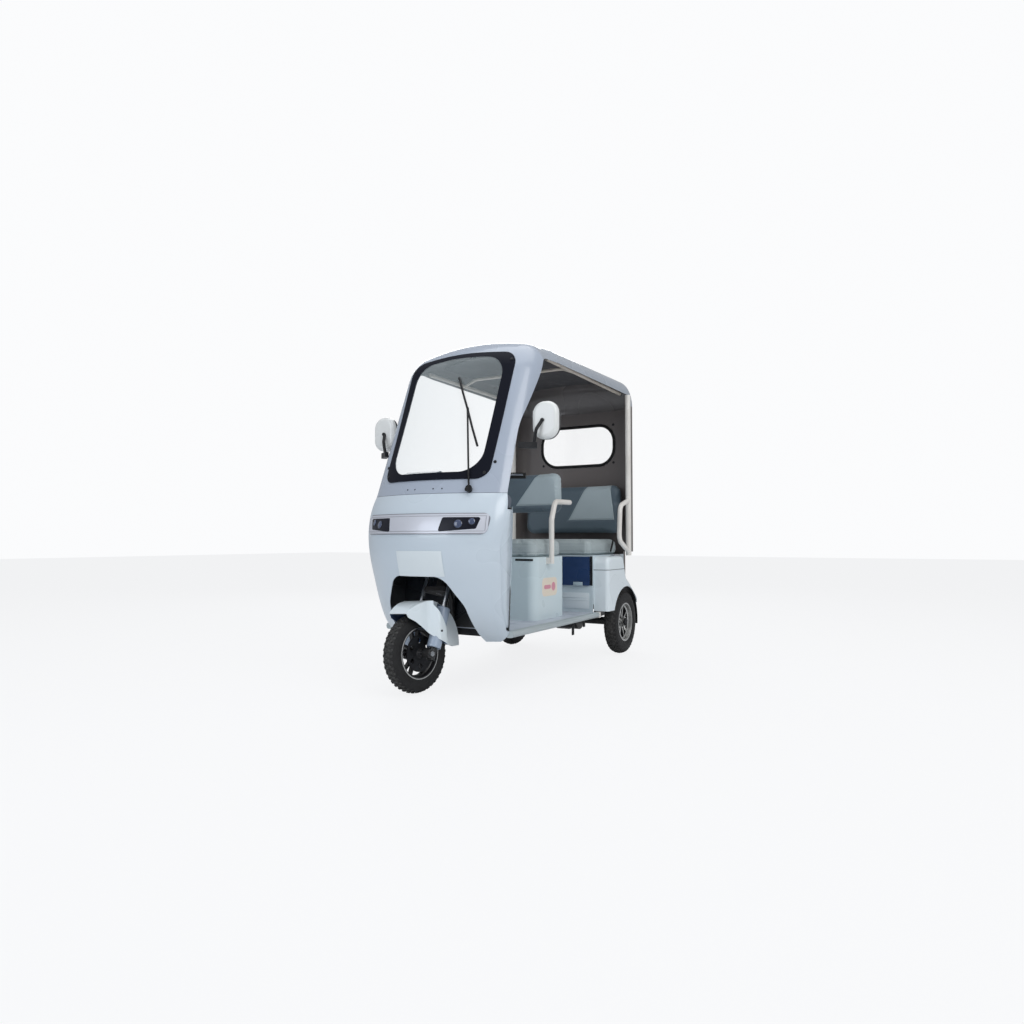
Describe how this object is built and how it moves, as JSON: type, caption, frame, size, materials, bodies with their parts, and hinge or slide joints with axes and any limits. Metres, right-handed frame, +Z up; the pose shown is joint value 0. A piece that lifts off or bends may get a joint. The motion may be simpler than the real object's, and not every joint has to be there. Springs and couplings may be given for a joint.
{
  "type": "passenger tricycle",
  "caption": "Light electric passenger tricycle: steered front wheel, rounded nose, raked windscreen, domed roof, open sides, driver's seat and rear bench.",
  "frame": {"origin": "on the floor, midway along the overall length and across the width", "axes": "+X forward, +Y to the vehicle's left, +Z up"},
  "size_m": [2.1998, 1.216, 1.913],
  "materials": {
    "nose_blue": "glossy moulded",
    "frame_lilac": "glossy moulded",
    "roof_grey": "glossy moulded",
    "wall_grey": "satin moulded",
    "glass_clear": "clear",
    "black_trim": "satin black",
    "lamp_chrome": "bright",
    "lamp_dark": "glossy dark",
    "tail_red": "glossy red",
    "tyre": "matt rubber",
    "wheel_black": "cast, machined edges",
    "steel": "machined",
    "chrome": "bright",
    "slider_blue": "satin paint",
    "frame_black": "satin paint",
    "tube_white": "satin paint",
    "tube_beige": "satin paint",
    "seat_fabric": "matt grained",
    "seat_back": "matt grained",
    "panel_navy": "satin moulded",
    "panel_grey": "satin moulded",
    "floor_grey": "ribbed mat",
    "rubber_black": "matt",
    "mirror_white": "glossy",
    "mirror_glass": "bright",
    "cast_metal": "sand cast"
  },
  "bodies": {
    "body": {"nose_panel": "nose_blue", "windscreen_frame": "frame_lilac", "windscreen_border": "black_trim", "windscreen_glass": "glass_clear", "roof_panel": "roof_grey", "rear_wall": "wall_grey", "rear_window": "glass_clear", "lamp_band": "lamp_chrome", "headlamps": "lamp_dark", "seat_pedestal": "nose_blue", "battery_block": "black_trim", "driver_cushion": "seat_fabric", "driver_back": "seat_back", "bench_cushion": "seat_fabric", "bench_back": "seat_back", "seat_frame": "tube_white", "bench_box": "panel_grey", "rear_fender_left": "nose_blue", "rear_fender_right": "nose_blue", "mudguards": "rubber_black", "rear_panel": "nose_blue", "tail_lamps": "tail_red", "roof_frame": "tube_beige", "headliner": "wall_grey", "rear_pillars": "tube_white", "grab_handles": "tube_white", "dashboard": "black_trim", "leg_shield": "panel_grey", "wiper": "black_trim", "mirror_arms": "black_trim", "mirror_shells": "mirror_white", "mirror_glasses": "mirror_glass", "chassis_frame": "frame_black", "rear_axle": "cast_metal", "leaf_springs": "frame_black", "floor_pan": "floor_grey", "sills": "panel_grey"},
    "front_wheel": {"front_tyre": "tyre", "front_rim": "wheel_black", "front_disc": "steel"},
    "steering": {"front_axle": "steel", "fork_sliders": "wheel_black", "fork_covers": "slider_blue", "fork_stanchions": "chrome", "fork_yokes": "frame_black", "steering_column": "frame_black", "front_fender": "nose_blue", "handlebar": "frame_black", "bar_clamp": "cast_metal", "grips": "rubber_black", "brake_levers": "steel"},
    "rear_wheel_left": {"rear_tyre_left": "tyre", "rear_rim_left": "wheel_black"},
    "rear_wheel_right": {"rear_tyre_right": "tyre", "rear_rim_right": "wheel_black"},
    "flap": {"storage_flap": "panel_navy"}
  },
  "joints": [
    {"name": "steer", "type": "hinge", "parent": "body", "child": "steering", "pos_m": [0.84636, 0, 0.17378], "axis": [-0.4067, 0, 0.9135], "range_deg": [-26, 44]},
    {"name": "front_spin", "type": "hinge", "parent": "steering", "child": "front_wheel", "pos_m": [0.9023, -0.0097, 0.19869], "axis": [0.1429, 0.9877, 0.0636], "continuous": true},
    {"name": "rear_left_spin", "type": "hinge", "parent": "body", "child": "rear_wheel_left", "pos_m": [-0.832, 0.4215, 0.213], "axis": [0, 1, 0], "continuous": true},
    {"name": "rear_right_spin", "type": "hinge", "parent": "body", "child": "rear_wheel_right", "pos_m": [-0.832, -0.4215, 0.213], "axis": [0, 1, 0], "continuous": true},
    {"name": "flap_swing", "type": "hinge", "parent": "body", "child": "flap", "pos_m": [-0.48, 0, 0.662], "axis": [0, -1, 0], "range_deg": [0, 75]}
  ]
}
